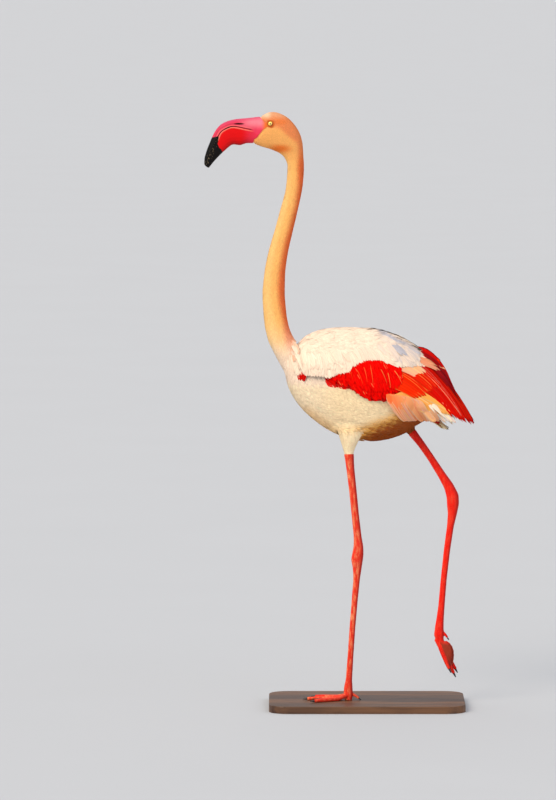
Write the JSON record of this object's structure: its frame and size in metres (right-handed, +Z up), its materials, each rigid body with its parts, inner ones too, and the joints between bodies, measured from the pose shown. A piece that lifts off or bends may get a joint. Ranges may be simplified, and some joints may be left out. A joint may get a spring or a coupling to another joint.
{
  "type": "greater flamingo",
  "caption": "Life-size wading greater flamingo, neck raised, one webbed foot lifted behind, standing on a flat rounded base.",
  "frame": {"origin": "centre of the base's underside, on the floor", "axes": "+Z up from the floor to the head, -X the way the bird faces, -Y its left side"},
  "size_m": [0.5536, 0.26, 1.2161],
  "materials": {
    "stand": "satin stained",
    "plumage_white": "soft contour feathers",
    "plumage_peach": "fine short feathers",
    "wing_scarlet": "overlapping coverts",
    "flight_black": "stiff flight feathers",
    "bill_horn": "satin horn with a black tip",
    "leg_skin": "scaled skin",
    "web_skin": "thin wet skin",
    "claw_horn": "blunt horn",
    "eye": "wet gloss"
  },
  "bodies": {
    "root": {"stand_base": "stand", "trunk": "plumage_white", "tail": "plumage_white", "neck_lower": "plumage_peach", "neck_middle": "plumage_peach", "neck_upper": "plumage_peach", "head": "plumage_peach", "bill_upper": "bill_horn", "bill_lower": "bill_horn", "eye_left": "eye", "wing_left": "wing_scarlet", "primaries_left": "flight_black", "thigh_left": "plumage_white", "shank_left": "leg_skin", "ankle_left": "leg_skin", "tarsus_left": "leg_skin", "toe_inner_left": "leg_skin", "claw_inner_left": "claw_horn", "toe_middle_left": "leg_skin", "claw_middle_left": "claw_horn", "toe_outer_left": "leg_skin", "claw_outer_left": "claw_horn", "toe_hind_left": "leg_skin", "claw_hind_left": "claw_horn", "web_inner_left": "web_skin", "web_middle_left": "web_skin", "eye_right": "eye", "wing_right": "wing_scarlet", "primaries_right": "flight_black", "thigh_right": "plumage_white", "shank_right": "leg_skin", "ankle_right": "leg_skin", "tarsus_right": "leg_skin", "toe_inner_right": "leg_skin", "claw_inner_right": "claw_horn", "toe_middle_right": "leg_skin", "claw_middle_right": "claw_horn", "toe_outer_right": "leg_skin", "claw_outer_right": "claw_horn", "toe_hind_right": "leg_skin", "claw_hind_right": "claw_horn", "web_inner_right": "web_skin", "web_middle_right": "web_skin"}
  },
  "joints": []
}
